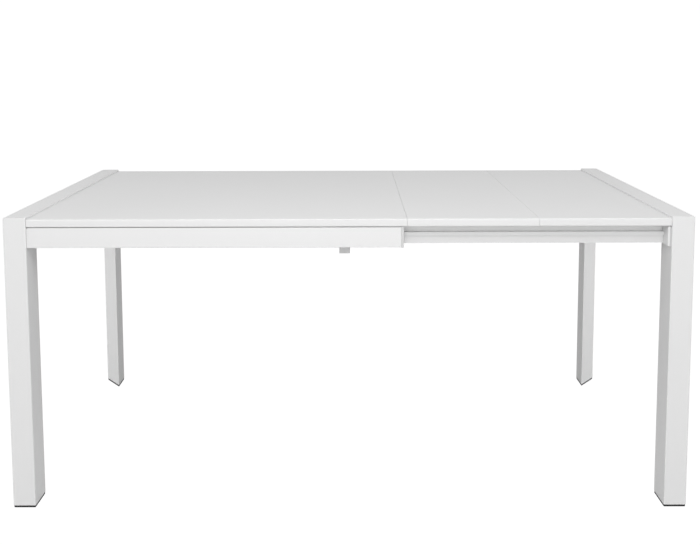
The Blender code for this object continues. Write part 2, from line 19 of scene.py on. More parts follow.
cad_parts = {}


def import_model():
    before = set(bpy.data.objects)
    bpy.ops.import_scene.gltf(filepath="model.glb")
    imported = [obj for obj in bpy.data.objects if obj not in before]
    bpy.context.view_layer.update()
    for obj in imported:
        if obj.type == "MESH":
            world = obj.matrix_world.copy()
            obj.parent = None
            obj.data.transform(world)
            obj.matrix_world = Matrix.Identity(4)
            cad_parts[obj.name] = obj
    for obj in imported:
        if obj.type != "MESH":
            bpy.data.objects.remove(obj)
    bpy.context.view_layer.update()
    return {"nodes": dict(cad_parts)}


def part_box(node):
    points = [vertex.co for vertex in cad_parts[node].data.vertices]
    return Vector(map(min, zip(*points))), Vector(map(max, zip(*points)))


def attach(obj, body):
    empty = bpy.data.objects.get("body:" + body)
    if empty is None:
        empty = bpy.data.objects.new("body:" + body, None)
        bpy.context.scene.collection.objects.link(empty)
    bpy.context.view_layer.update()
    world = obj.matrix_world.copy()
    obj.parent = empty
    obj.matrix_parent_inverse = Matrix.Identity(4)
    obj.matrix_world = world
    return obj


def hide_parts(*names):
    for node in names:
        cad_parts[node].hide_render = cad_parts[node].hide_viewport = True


LOG = logging.getLogger("dining_table")

Pair = tuple[float, float]
Color = tuple[float, float, float]

MERGE = 0.000001  # points nearer than this are one point
SEAM = 0.00002  # what a filled and ground mitre leaves open
OVERCUT = 0.010  # how far a blank runs past its cut
SHARP = math.radians(40)  # an edge that turns more than this gets an arris
SMOOTH = math.radians(38)  # an edge that turns less than this is shaded smooth
FLAT = math.radians(1)  # faces that turn less than this are one face
ALONG = 0.99  # the least cosine of a direction that counts as along an axis
ACROSS = 0.1  # the greatest cosine of one that counts as across it


class Side(Enum):
    """The long sides of the table, by the sign of their Y."""

    FRONT = -1
    REAR = 1

    @property
    def word(self) -> str:
        """Return the side's name as the frame writes it."""
        return self.name.lower()


class End(Enum):
    """The ends of the table, by the sign of their X."""

    LEFT = -1
    RIGHT = 1

    @property
    def word(self) -> str:
        """Return the end's name as the frame writes it."""
        return self.name.lower()


class Axis(Enum):
    """The frame's axes, by their place in a vector."""

    X = 0
    Y = 1
    Z = 2

    @property
    def across(self) -> tuple[int, int]:
        """Return the places of the two other axes."""
        return tuple(place for place in range(3) if place != self.value)

    def vector(self, length: float = 1.0) -> Vector:
        """Return a vector of that length along the axis."""
        made = Vector((0, 0, 0))
        made[self.value] = length
        return made


class Body(Enum):
    """The frame's moving bodies."""

    FIXED_FRAME = "fixed_frame"
    MOVING_PORTAL = "moving_portal"
    LEAF_1 = "leaf_1"
    LEAF_2 = "leaf_2"


class Slot(Enum):
    """The record's material slots."""

    PORTAL = "portal_lacquer"
    APRON = "apron_lacquer"
    TOP = "top_laminate"
    RAIL = "rail_aluminium"
    STEEL = "zinc_steel"
    NYLON = "grey_nylon"
    FOOT = "foot_black"
    WOOD = "batten_wood"


@dataclass(frozen=True)
class Box:
    """The lowest and highest corners of a piece at rest."""

    low: Vector
    high: Vector

    @classmethod
    def of(cls, node: str) -> "Box":
        """Return the box of one of the frame's nodes."""
        low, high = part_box(node)
        return cls(low, high)

    @property
    def size(self) -> Vector:
        """Return the box's size."""
        return self.high - self.low

    @property
    def centre(self) -> Vector:
        """Return the box's centre."""
        return (self.low + self.high) / 2

    def outer_y(self, side: Side) -> float:
        """Return the Y of the face that looks out of one long side of the table."""
        return self.low.y if side is Side.FRONT else self.high.y

    def inner_x(self, end: End) -> float:
        """Return the X of the face that looks from one end to the middle of the table."""
        return self.high.x if end is End.LEFT else self.low.x

    def grown(self, by: Vector) -> "Box":
        """Return the box with that much added at both ends of each axis."""
        return Box(self.low - by, self.high + by)


class Value:
    """A node's output that takes part in Python's sums."""

    def __init__(self, bench: "NodeBench", socket: bpy.types.NodeSocket) -> None:
        """Wrap a socket of a bench's tree."""
        self.bench = bench
        self.socket = socket

    def _sum(self, operation: str, first: "Value | float", second: "Value | float") -> "Value":
        """Return a Math node's result on two values or numbers."""
        return self.bench.node("ShaderNodeMath", {"operation": operation}, {0: first, 1: second})

    def __add__(self, other: "Value | float") -> "Value":
        """Return self + other."""
        return self._sum("ADD", self, other)

    def __radd__(self, other: float) -> "Value":
        """Return other + self."""
        return self._sum("ADD", other, self)

    def __sub__(self, other: "Value | float") -> "Value":
        """Return self - other."""
        return self._sum("SUBTRACT", self, other)

    def __rsub__(self, other: float) -> "Value":
        """Return other - self."""
        return self._sum("SUBTRACT", other, self)

    def __mul__(self, other: "Value | float") -> "Value":
        """Return self * other."""
        return self._sum("MULTIPLY", self, other)

    def __rmul__(self, other: float) -> "Value":
        """Return other * self."""
        return self._sum("MULTIPLY", other, self)


class NodeBench:
    """A node tree in the making."""

    def __init__(self, tree: bpy.types.NodeTree) -> None:
        """Take a tree and clear it."""
        self.tree = tree
        self.tree.nodes.clear()

    @classmethod
    def for_material(cls, name: str) -> "tuple[NodeBench, bpy.types.Material]":
        """Return a bench for a new material, and the material."""
        material = bpy.data.materials.new(name)
        material.use_nodes = True
        return cls(material.node_tree), material

    def node(
        self,
        kind: str,
        settings: dict[str, object] | None = None,
        sockets: "dict[str | int, Value | float | Sequence[float]] | None" = None,
        output: str | int = 0,
    ) -> Value | None:
        """Add a node and return one of its outputs.

        Args:
            kind: The node's type.
            settings: Its properties, with a ramp's stops as "stops": pairs of a place and a colour.
            sockets: The values or links of its inputs, by name or number.
            output: The output to return.

        Returns:
            The output, wrapped, or nothing for a node that has none.
        """
        made = self.tree.nodes.new(kind)
        for name, setting in (settings or {}).items():
            if name == "stops":
                self._set_stops(made.color_ramp, setting)
            else:
                setattr(made, name, setting)
        for key, value in (sockets or {}).items():
            if isinstance(value, Value):
                self.tree.links.new(value.socket, made.inputs[key])
            else:
                made.inputs[key].default_value = value
        return Value(self, made.outputs[output]) if len(made.outputs) else None

    @staticmethod
    def _set_stops(ramp: bpy.types.ColorRamp, stops: Sequence[tuple[float, Color]]) -> None:
        """Give a ramp its stops."""
        while len(ramp.elements) < len(stops):
            ramp.elements.new(1.0)
        for element, (place, color) in zip(ramp.elements, stops):
            element.position = place
            element.color = (*color, 1.0)

    def place(self, stretch: Sequence[float] = (1, 1, 1)) -> Value:
        """Return the piece's own coordinates, stretched along its axes."""
        own = self.node("ShaderNodeTexCoord", output="Object")
        return self.node("ShaderNodeMapping", sockets={"Vector": own, "Scale": stretch})

    def noise(self, place: Value, grain: float, detail: float = 2.0, roughness: float = 0.5) -> Value:
        """Return a noise whose features are about one grain wide, from 0 to 1.

        Args:
            place: The coordinates it is read at.
            grain: The width of a feature, in metres.
            detail: How many finer layers it has.
            roughness: How strong the finer layers are.

        Returns:
            The noise.
        """
        sockets = {"Vector": place, "Scale": 1 / grain, "Detail": detail, "Roughness": roughness}
        return self.node("ShaderNodeTexNoise", {"noise_dimensions": "3D"}, sockets)

    def tones(self, factor: Value, dark: Color, light: Color, low: float = 0.3, high: float = 0.7) -> Value:
        """Return a colour between two tones.

        Args:
            factor: What decides the tone.
            dark: The colour below low.
            light: The colour above high.
            low: The factor at which the colour leaves the dark tone.
            high: The factor at which it reaches the light one.

        Returns:
            The colour.
        """
        return self.node("ShaderNodeValToRGB", {"stops": ((low, dark), (high, light))}, {"Fac": factor})

    def bump(self, height: Value, distance: float, strength: float = 1.0) -> Value:
        """Return a normal that a height bends.

        Args:
            height: The height, from 0 to 1.
            distance: What a height of 1 stands for, in metres.
            strength: How much of the bend is kept.

        Returns:
            The normal.
        """
        sockets = {"Height": height, "Distance": distance, "Strength": strength}
        return self.node("ShaderNodeBump", sockets=sockets)

    def surface(self, sockets: "dict[str | int, Value | float | Sequence[float]]") -> None:
        """Add the shader and the material's output."""
        shader = self.node("ShaderNodeBsdfPrincipled", sockets=sockets)
        self.node("ShaderNodeOutputMaterial", sockets={"Surface": shader})


def shade(color: Color, by: float) -> Color:
    """Return a colour made lighter or darker by a factor."""
    return tuple(min(1.0, part * by) for part in color)


@dataclass(frozen=True)
class Lacquer:
    """A sprayed satin lacquer or powder coat, with its orange peel and a faint cloudiness."""

    name: str
    color: Color
    roughness: float
    peel_width: float
    peel_height: float
    cloud_width: float = 0.12
    cloudiness: float = 0.006
    specular: float = 0.4
    dust_fineness: float = 5.0  # how many specks of dust fit in one swell of the peel

    def make(self) -> bpy.types.Material:
        """Return the material."""
        bench, material = NodeBench.for_material(self.name)
        place = bench.place()
        cloud = bench.noise(place, self.cloud_width, detail=3.0)
        peel = bench.noise(place, self.peel_width, detail=1.0)
        dust = bench.noise(place, self.peel_width / self.dust_fineness, detail=0.0)
        bench.surface(
            {
                "Base Color": bench.tones(cloud, shade(self.color, 1 - self.cloudiness), self.color),
                "Roughness": (cloud - 0.5) * 0.10 + (dust - 0.5) * 0.05 + self.roughness,
                "Specular IOR Level": self.specular,
                "Normal": bench.bump(peel + dust * 0.2, self.peel_height, 0.6),
            }
        )
        return material


@dataclass(frozen=True)
class BoardLacquer:
    """The flat-sprayed, lightly polished lacquer on the boards of the top."""

    name: str
    color: Color
    roughness: float
    cloudiness: float = 0.008
    cloud_width: float = 0.20
    rub_width: float = 0.010
    rub_stretch: float = 0.25
    texture_width: float = 0.0009
    texture_height: float = 0.000006

    def make(self) -> bpy.types.Material:
        """Return the material."""
        bench, material = NodeBench.for_material(self.name)
        place = bench.place()
        cloud = bench.noise(place, self.cloud_width, detail=4.0)
        rubbed = bench.noise(bench.place((self.rub_stretch, 1, 1)), self.rub_width, detail=3.0)
        texture = bench.noise(place, self.texture_width, detail=1.0)
        bench.surface(
            {
                "Base Color": bench.tones(cloud, shade(self.color, 1 - self.cloudiness), self.color),
                "Roughness": (cloud - 0.5) * 0.08 + (rubbed - 0.5) * 0.06 + self.roughness,
                "Specular IOR Level": 0.25,
                "Normal": bench.bump(texture, self.texture_height, 0.5),
            }
        )
        return material


@dataclass(frozen=True)
class Extrusion:
    """Satin anodised aluminium, with the die's fine lines along the piece."""

    name: str
    color: Color
    roughness: float
    metallic: float
    along: Axis
    line_width: float = 0.0005
    line_height: float = 0.000012
    line_stretch: float = 0.004
    bands: float = 8.0  # how many lines make up a band
    etch_width: float = 0.0006

    def make(self) -> bpy.types.Material:
        """Return the material."""
        bench, material = NodeBench.for_material(self.name)
        stretch = tuple(self.line_stretch if axis is self.along else 1.0 for axis in Axis)
        lines = bench.noise(bench.place(stretch), self.line_width, detail=3.0, roughness=0.6)
        bands = bench.noise(bench.place(stretch), self.line_width * self.bands, detail=1.0)
        etch = bench.noise(bench.place(), self.etch_width, detail=1.0)
        bench.surface(
            {
                "Base Color": bench.tones(bands, shade(self.color, 0.97), self.color),
                "Roughness": (lines - 0.5) * 0.16 + (etch - 0.5) * 0.06 + self.roughness,
                "Metallic": self.metallic,
                "Normal": bench.bump(lines + etch * 0.3, self.line_height, 0.5),
            }
        )
        return material


@dataclass(frozen=True)
class ZincPlate:
    """Bright zinc plating on pressed or turned steel."""

    name: str
    color: Color
    roughness: float
    crystal_width: float = 0.002
    crystal_height: float = 0.00001
    stain_width: float = 0.012

    def make(self) -> bpy.types.Material:
        """Return the material."""
        bench, material = NodeBench.for_material(self.name)
        sockets = {"Vector": bench.place(), "Scale": 1 / self.crystal_width}
        spangle = bench.node("ShaderNodeTexVoronoi", {"feature": "F1"}, sockets, "Color")
        crystals = bench.node("ShaderNodeSeparateColor", sockets={"Color": spangle})
        stain = bench.noise(bench.place(), self.stain_width, detail=4.0)
        bench.surface(
            {
                "Base Color": bench.tones(stain, shade(self.color, 0.90), self.color),
                "Roughness": crystals * 0.10 + (stain - 0.5) * 0.15 + self.roughness,
                "Metallic": 1.0,
                "Normal": bench.bump(crystals, self.crystal_height, 0.3),
            }
        )
        return material


@dataclass(frozen=True)
class Moulding:
    """Moulded plastic with the fine spark-eroded texture of its tool."""

    name: str
    color: Color
    roughness: float
    flow_width: float = 0.015
    flow_stretch: float = 0.4
    texture_width: float = 0.0005
    texture_height: float = 0.00003

    def make(self) -> bpy.types.Material:
        """Return the material."""
        bench, material = NodeBench.for_material(self.name)
        flow = bench.noise(bench.place((self.flow_stretch, 1, 1)), self.flow_width, detail=2.0)
        texture = bench.noise(bench.place(), self.texture_width, detail=2.0, roughness=0.6)
        bench.surface(
            {
                "Base Color": bench.tones(flow, shade(self.color, 0.95), shade(self.color, 1.03)),
                "Roughness": (texture - 0.5) * 0.12 + self.roughness,
                "Normal": bench.bump(texture, self.texture_height, 0.6),
            }
        )
        return material


@dataclass(frozen=True)
class Beech:
    """Plain sanded beech with its grain along X, its short rays and its pores."""

    name: str
    light: Color
    dark: Color
    roughness: float = 0.58
    growth_width: float = 0.006
    ray_width: float = 0.0011
    pore_width: float = 0.0005
    pore_height: float = 0.00005

    def make(self) -> bpy.types.Material:
        """Return the material."""
        bench, material = NodeBench.for_material(self.name)
        growth = bench.noise(bench.place((0.06, 1, 1)), self.growth_width, detail=4.0, roughness=0.6)
        rays = bench.noise(bench.place((0.25, 1, 2)), self.ray_width, detail=1.0)
        pores = bench.noise(bench.place((0.03, 1, 1)), self.pore_width, detail=1.0)
        figure = growth * 0.7 + rays * 0.3
        bench.surface(
            {
                "Base Color": bench.tones(figure, self.dark, self.light, 0.35, 0.65),
                "Roughness": (1 - growth) * 0.12 + self.roughness,
                "Specular IOR Level": 0.3,
                "Normal": bench.bump(pores * 0.7 + rays * 0.3, self.pore_height, 0.7),
            }
        )
        return material


class Palette:
    """The table's finishes, each made once."""

    FINISHES = {
        "portal": Lacquer("portal_powder_coat", (0.80, 0.80, 0.80), 0.42, 0.0022, 0.00003),
        "apron": Lacquer("apron_lacquer", (0.81, 0.81, 0.81), 0.40, 0.0018, 0.00002),
        "top": BoardLacquer("top_lacquer", (0.80, 0.80, 0.80), 0.42),
        "backing": Lacquer("board_backing", (0.74, 0.74, 0.73), 0.55, 0.0012, 0.00002, 0.05, 0.02, 0.3),
        "rail": Extrusion("rail_aluminium", (0.82, 0.82, 0.82), 0.42, 0.10, Axis.X),
        "bar": Extrusion("bar_aluminium", (0.78, 0.78, 0.78), 0.42, 0.45, Axis.Y),
        "steel": ZincPlate("zinc_steel", (0.66, 0.66, 0.67), 0.26),
        "nylon": Moulding("grey_nylon", (0.66, 0.66, 0.66), 0.50),
        "foot": Moulding("black_nylon", (0.013, 0.013, 0.014), 0.60),
        "wood": Beech("beech", (0.74, 0.58, 0.40), (0.60, 0.44, 0.28)),
    }

    def __init__(self) -> None:
        """Start with nothing made."""
        self._made: dict[str, bpy.types.Material] = {}

    def __getitem__(self, name: str) -> bpy.types.Material:
        """Return a finish's material, made at its first use."""
        if name not in self._made:
            self._made[name] = self.FINISHES[name].make()
        return self._made[name]


def clear_selection() -> None:
    """Leave edit mode and deselect everything."""
    if bpy.context.mode != "OBJECT":
        bpy.ops.object.mode_set(mode="OBJECT")
    bpy.ops.object.select_all(action="DESELECT")


class Workpiece:
    """A piece on the bench: a primitive that is shaped in edit mode and then finished."""

    def __init__(self, name: str) -> None:
        """Take the primitive that was added last."""
        self.thing = bpy.context.object
        self.thing.name = name
        self.thing.data.name = name
        bpy.ops.object.transform_apply(location=True, rotation=True, scale=True)
        bpy.ops.object.mode_set(mode="EDIT")

    @classmethod
    def block(cls, name: str, box: Box) -> "Workpiece":
        """Start from a block that fills a box."""
        clear_selection()
        bpy.ops.mesh.primitive_cube_add(size=1, location=box.centre, scale=box.size)
        return cls(name)

    @classmethod
    def rod(cls, name: str, radius: float, start: Vector, end: Vector, sides: int = 32) -> "Workpiece":
        """Start from a round rod between two points."""
        clear_selection()
        run = end - start
        bpy.ops.mesh.primitive_cylinder_add(
            vertices=sides,
            radius=radius,
            depth=run.length,
            location=(start + end) / 2,
            rotation=run.to_track_quat("Z", "Y").to_euler(),
        )
        return cls(name)

    @classmethod
    def section(cls, name: str, run: Axis, flats: Sequence[tuple[Pair, Pair]], ends: Pair) -> "Workpiece":
        """Start from a plane, cut it to a section made of flats, and draw it out.

        Args:
            name: The piece's name.
            run: The axis that the section is drawn along.
            flats: Rectangles that make up the section, each as its lowest and highest corner across the run.
            ends: Where the run starts and ends.

        Returns:
            The workpiece, closed and sharp-edged.
        """
        first, second = run.across
        lows = [min(low[place] for low, _ in flats) for place in range(2)]
        highs = [max(high[place] for _, high in flats) for place in range(2)]
        spans = [high - low for low, high in zip(lows, highs)]
        centre = run.vector(ends[0])
        centre[first] = (lows[0] + highs[0]) / 2
        centre[second] = (lows[1] + highs[1]) / 2
        quarter = math.pi / 2
        rotation, scale = {
            Axis.X: ((0, quarter, 0), (spans[1], spans[0], 1)),
            Axis.Y: ((quarter, 0, 0), (spans[0], spans[1], 1)),
            Axis.Z: ((0, 0, 0), (spans[0], spans[1], 1)),
        }[run]
        clear_selection()
        bpy.ops.mesh.primitive_plane_add(size=1, location=centre, rotation=rotation)
        bpy.context.object.scale = scale
        work = cls(name)
        for place, axis in enumerate((first, second)):
            stations = {corner[place] for flat in flats for corner in flat}
            for station in sorted(stations - {lows[place], highs[place]}):
                normal = Vector((0, 0, 0))
                normal[axis] = 1
                work.bisect(normal * station, normal)

        def outside(middle: Vector, _: Vector) -> bool:
            """Return whether a face lies in none of the flats."""
            spot = (middle[first], middle[second])
            return not any(
                all(low[place] < spot[place] < high[place] for place in range(2)) for low, high in flats
            )

        if work.pick_faces(outside):
            bpy.ops.mesh.delete(type="FACE")
        bpy.ops.mesh.select_all(action="SELECT")
        bpy.ops.mesh.dissolve_limited(angle_limit=FLAT)
        bpy.ops.mesh.select_all(action="SELECT")
        work.extrude(run.vector(ends[1] - ends[0]))
        work.face_outwards()
        return work

    def pick_faces(self, test: Callable[[Vector, Vector], bool]) -> int:
        """Select the faces whose middle and normal pass a test, and return how many there are."""
        bpy.ops.mesh.select_mode(type="FACE")
        bpy.ops.mesh.select_all(action="DESELECT")
        shape = bmesh.from_edit_mesh(self.thing.data)
        picked = [face for face in shape.faces if test(face.calc_center_median(), face.normal)]
        for face in picked:
            face.select_set(True)
        bmesh.update_edit_mesh(self.thing.data)
        return len(picked)

    def pick_edges(self, test: Callable[[Vector, Vector], bool], sharp: float = 0.0) -> int:
        """Select the edges whose middle and direction pass a test.

        Args:
            test: Takes an edge's middle and its direction.
            sharp: Leave out edges that turn less than this, in radians.

        Returns:
            How many edges were picked.
        """
        bpy.ops.mesh.select_mode(type="EDGE")
        bpy.ops.mesh.select_all(action="DESELECT")
        shape = bmesh.from_edit_mesh(self.thing.data)
        picked = []
        for edge in shape.edges:
            start, end = (corner.co for corner in edge.verts)
            turn = edge.calc_face_angle(math.pi)
            if turn >= sharp and test((start + end) / 2, (end - start).normalized()):
                picked.append(edge)
        for edge in picked:
            edge.select_set(True)
        bmesh.update_edit_mesh(self.thing.data)
        return len(picked)

    def extrude(self, by: Vector) -> None:
        """Extrude what is picked."""
        bpy.ops.mesh.extrude_region_move(TRANSFORM_OT_translate={"value": tuple(by)})

    def inset(self, width: float, depth: float = 0.0) -> None:
        """Inset the picked faces, and sink or raise them by a depth."""
        bpy.ops.mesh.inset(thickness=width, depth=depth)

    def bevel(self, width: float, steps: int) -> None:
        """Bevel the picked edges."""
        bpy.ops.mesh.bevel(offset=width, segments=steps, profile=0.5, affect="EDGES", clamp_overlap=True)

    def arris(self, width: float, steps: int = 2) -> None:
        """Take the sharpness off every edge that is still sharp."""
        if self.pick_edges(lambda middle, direction: True, SHARP):
            self.bevel(width, steps)

    def bisect(self, point: Vector, normal: Vector, clear: bool = False, fill: bool = False) -> None:
        """Cut the whole piece along a plane, and take away what lies beyond it if asked."""
        bpy.ops.mesh.select_all(action="SELECT")
        bpy.ops.mesh.bisect(
            plane_co=point, plane_no=normal, use_fill=fill, clear_outer=clear, threshold=MERGE
        )

    def close_wall(self) -> None:
        """Bridge the two open loops that a cut leaves on a tube."""
        bpy.ops.mesh.select_mode(type="EDGE")
        bpy.ops.mesh.select_all(action="DESELECT")
        bpy.ops.mesh.select_non_manifold(
            extend=False, use_wire=False, use_multi_face=False, use_non_contiguous=False, use_verts=False
        )
        bpy.ops.mesh.bridge_edge_loops()

    def face_outwards(self) -> None:
        """Turn every face outwards."""
        bpy.ops.mesh.select_all(action="SELECT")
        bpy.ops.mesh.normals_make_consistent(inside=False)

    def fit(self, box: Box, anchor: Vector) -> None:
        """Stretch the piece about an anchor until it is as large as a box."""
        points = [point.co for point in bmesh.from_edit_mesh(self.thing.data).verts]
        spans = [max(p[place] for p in points) - min(p[place] for p in points) for place in range(3)]
        ratios = [wanted / span for wanted, span in zip(box.size, spans)]
        bpy.ops.mesh.select_all(action="SELECT")
        bpy.ops.transform.resize(value=ratios, center_override=anchor)

    def modifier(self, kind: str, **settings: object) -> None:
        """Apply a modifier."""
        bpy.ops.object.mode_set(mode="OBJECT")
        made = self.thing.modifiers.new(kind.title(), kind)
        for name, setting in settings.items():
            setattr(made, name, setting)
        bpy.ops.object.modifier_apply(modifier=made.name)
        bpy.ops.object.mode_set(mode="EDIT")

    def cut_with(self, cutter: bpy.types.Object) -> None:
        """Cut a finished object out of the piece, and remove it."""
        clear_selection()
        bpy.context.view_layer.objects.active = self.thing
        self.thing.select_set(True)
        bpy.ops.object.mode_set(mode="EDIT")
        self.modifier("BOOLEAN", operation="DIFFERENCE", solver="EXACT", object=cutter)
        bpy.data.objects.remove(cutter, do_unlink=True)

    def finish(self) -> bpy.types.Object:
        """Close the piece up, shade it and return it."""
        bpy.ops.mesh.select_all(action="SELECT")
        bpy.ops.mesh.remove_doubles(threshold=MERGE)
        self.face_outwards()
        bpy.ops.object.mode_set(mode="OBJECT")
        bpy.ops.object.shade_smooth_by_angle(angle=SMOOTH)
        weighted = self.thing.modifiers.new("Weighted", "WEIGHTED_NORMAL")
        weighted.keep_sharp = True
        bpy.ops.object.modifier_apply(modifier=weighted.name)
        return self.thing


def install(
    piece: bpy.types.Object, body: Body, slot: Slot, finish: bpy.types.Material, *nodes: str
) -> None:
    """Put a finished piece on the table.

    Args:
        piece: The piece, in its place.
        body: The body it rides on.
        slot: The record's slot that it takes its finish from; not used.
        finish: Its material, which becomes its first one.
        nodes: The frame's nodes that it stands for.
    """
    if piece.data.materials:
        piece.data.materials[0] = finish
    else:
        piece.data.materials.append(finish)
    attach(piece, body.value)
    if nodes:
        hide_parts(*nodes)
    faces = len(piece.data.polygons)
    LOG.info("%s on %s, %d faces, for %s", piece.name, body.value, faces, ", ".join(nodes) or "itself")


@dataclass
class Screw:
    """A pan-head screw with a cross recess, modelled once and copied."""

    head_radius: float
    head_height: float
    shank_radius: float
    shank: float
    recess_reach: float = 0.62  # of the head's radius
    recess_width: float = 0.26
    recess_depth: float = 0.60  # of the head's height
    crown: float = 0.45  # of the head's height
    crown_steps: int = 4
    arris: float = 0.12  # of the shank's radius
    _master: bpy.types.Mesh | None = None

    def _model(self) -> bpy.types.Mesh:
        """Return the mesh, with the underside of its head at the origin and its head towards +Z."""
        start, top = Vector((0, 0, 0)), Vector((0, 0, self.head_height))
        work = Workpiece.rod("screw", self.head_radius, start, top)
        work.pick_faces(lambda middle, normal: normal.z < -ALONG)
        work.inset(self.head_radius - self.shank_radius)
        work.extrude(Vector((0, 0, -self.shank)))
        work.pick_edges(lambda middle, direction: middle.z > self.head_height - MERGE, SHARP)
        work.bevel(self.head_height * self.crown, self.crown_steps)
        work.arris(self.shank_radius * self.arris)
        reach = self.head_radius * self.recess_reach
        half = self.head_radius * self.recess_width / 2
        flats = (((-reach, -half), (reach, half)), ((-half, -reach), (half, reach)))
        ends = (self.head_height * (1 - self.recess_depth), self.head_height * 2)
        cutter = Workpiece.section("recess", Axis.Z, flats, ends).finish()
        work.cut_with(cutter)
        screw = work.finish()
        mesh = screw.data
        bpy.data.objects.remove(screw)
        return mesh

    def drive(self, name: str, seat: Vector, towards: Vector) -> bpy.types.Object:
        """Return a screw with its head on a seat.

        Args:
            name: The screw's name.
            seat: Where the underside of its head rests.
            towards: The way its head points.

        Returns:
            The screw.
        """
        if self._master is None:
            self._master = self._model()
        mesh = self._master.copy()
        mesh.transform(Matrix.Translation(seat) @ towards.to_track_quat("Z", "Y").to_matrix().to_4x4())
        screw = bpy.data.objects.new(name, mesh)
        bpy.context.scene.collection.objects.link(screw)
        return screw


@dataclass
class Portal:
    """One end of the table: two legs and a head beam of three-cornered tube, on black feet."""

    end: End
    body: Body
    wall: float = 0.002
    square_radius: float = 0.002
    tip_radius: float = 0.004
    tip_steps: int = 7
    foot_recess: float = 0.0012
    foot_arris: float = 0.0003
    plug_clearance: float = 0.0006

    def build(self, palette: Palette) -> None:
        """Model and dress the portal."""
        self._head_beam(palette)
        for side in Side:
            self._leg(side, palette)
            self._foot(side, palette)

    def _prism(self, name: str, box: Box, square: Vector, run: Axis, deep: Axis) -> Workpiece:
        """Return a rounded three-cornered prism that fills a box.

        Args:
            name: The piece's name.
            box: The box.
            square: A point on the edge with the square corner.
            run: The axis that the prism runs along.
            deep: The axis that it is deep along, from the square corner.

        Returns:
            The workpiece.
        """
        width, depth = box.size.x, box.size[deep.value]
        out = Axis.X.vector(self.end.value)
        inward = deep.vector(math.copysign(1, (box.centre - square)[deep.value]))
        work = Workpiece.block(name, box)
        work.bisect(square + out * width, out / width + inward / depth, clear=True, fill=True)
        tips = (
            (square, math.pi / 2, self.square_radius),
            (square + out * width, math.atan2(depth, width), self.tip_radius),
            (square + inward * depth, math.atan2(width, depth), self.square_radius),
        )
        for tip, corner, radius in tips:

            def near(middle: Vector, direction: Vector, tip: Vector = tip) -> bool:
                """Return whether an edge runs along the prism at this tip."""
                gap = middle - tip
                gap[run.value] = 0
                return gap.length < self.wall and abs(direction[run.value]) > ALONG

            work.pick_edges(near)
            work.bevel(radius / math.tan(corner / 2), self.tip_steps)
        work.fit(box, square)
        return work

    def _tube(self, name: str, box: Box, square: Vector, run: Axis, deep: Axis) -> Workpiece:
        """Return a prism made into a tube with open ends."""
        work = self._prism(name, box, square, run, deep)
        work.pick_faces(lambda middle, normal: abs(normal[run.value]) > ALONG)
        bpy.ops.mesh.delete(type="FACE")
        work.face_outwards()
        work.modifier("SOLIDIFY", thickness=self.wall, offset=-1.0, use_even_offset=True)
        return work

    def _corner(self, side: Side) -> Vector:
        """Return the top outer corner of a leg, on the portal's inner face."""
        leg = Box.of(f"{side.word}_{self.end.word}_leg")
        beam = Box.of(f"{self.end.word}_portal_beam")
        return Vector((leg.inner_x(self.end), leg.outer_y(side), beam.high.z))

    def _leg(self, side: Side, palette: Palette) -> None:
        """Make one leg, mitred at its top."""
        node = f"{side.word}_{self.end.word}_leg"
        corner = self._corner(side)
        box = Box.of(node)
        blank = Box(box.low, Vector((box.high.x, box.high.y, corner.z + OVERCUT)))
        square = Vector((corner.x, corner.y, box.low.z))
        work = self._tube(f"{node}_tube", blank, square, Axis.Z, Axis.Y)
        mitre = Vector((0, -side.value, 1)).normalized()
        work.bisect(corner - mitre * SEAM, mitre, clear=True)
        work.close_wall()
        install(work.finish(), self.body, Slot.PORTAL, palette["portal"], node)

    def _head_beam(self, palette: Palette) -> None:
        """Make the head beam, mitred at both ends."""
        node = f"{self.end.word}_portal_beam"
        box = Box.of(node)
        front = self._corner(Side.FRONT)
        square = Vector((front.x, 0, front.z))
        blank = box.grown(Axis.Y.vector(OVERCUT))
        work = self._tube(f"{node}_tube", blank, square, Axis.Y, Axis.Z)
        for side in Side:
            mitre = Vector((0, -side.value, 1)).normalized()
            work.bisect(self._corner(side) + mitre * SEAM, -mitre, clear=True)
            work.close_wall()
        install(work.finish(), self.body, Slot.PORTAL, palette["portal"], node)

    def _foot(self, side: Side, palette: Palette) -> None:
        """Make one foot: a sole with a hollow under it, and the plug that holds it in the leg."""
        node = f"{side.word}_{self.end.word}_foot"
        leg = Box.of(f"{side.word}_{self.end.word}_leg")
        box = Box.of(node)
        sole = Box(box.low, Vector((box.high.x, box.high.y, leg.low.z)))
        square = Vector((box.inner_x(self.end), box.outer_y(side), box.low.z))
        work = self._prism(f"{node}_moulding", sole, square, Axis.Z, Axis.Y)
        work.pick_faces(lambda middle, normal: normal.z < -ALONG)
        work.inset(self.wall * 2)
        work.extrude(Vector((0, 0, self.foot_recess)))
        work.pick_faces(lambda middle, normal: normal.z > ALONG and middle.z > sole.high.z - MERGE)
        work.inset(self.wall + self.plug_clearance)
        work.extrude(Vector((0, 0, box.high.z - leg.low.z)))
        work.pick_edges(lambda middle, direction: abs(direction.z) < ACROSS, SHARP)
        work.bevel(self.foot_arris, 2)
        install(work.finish(), self.body, Slot.FOOT, palette["foot"], node)


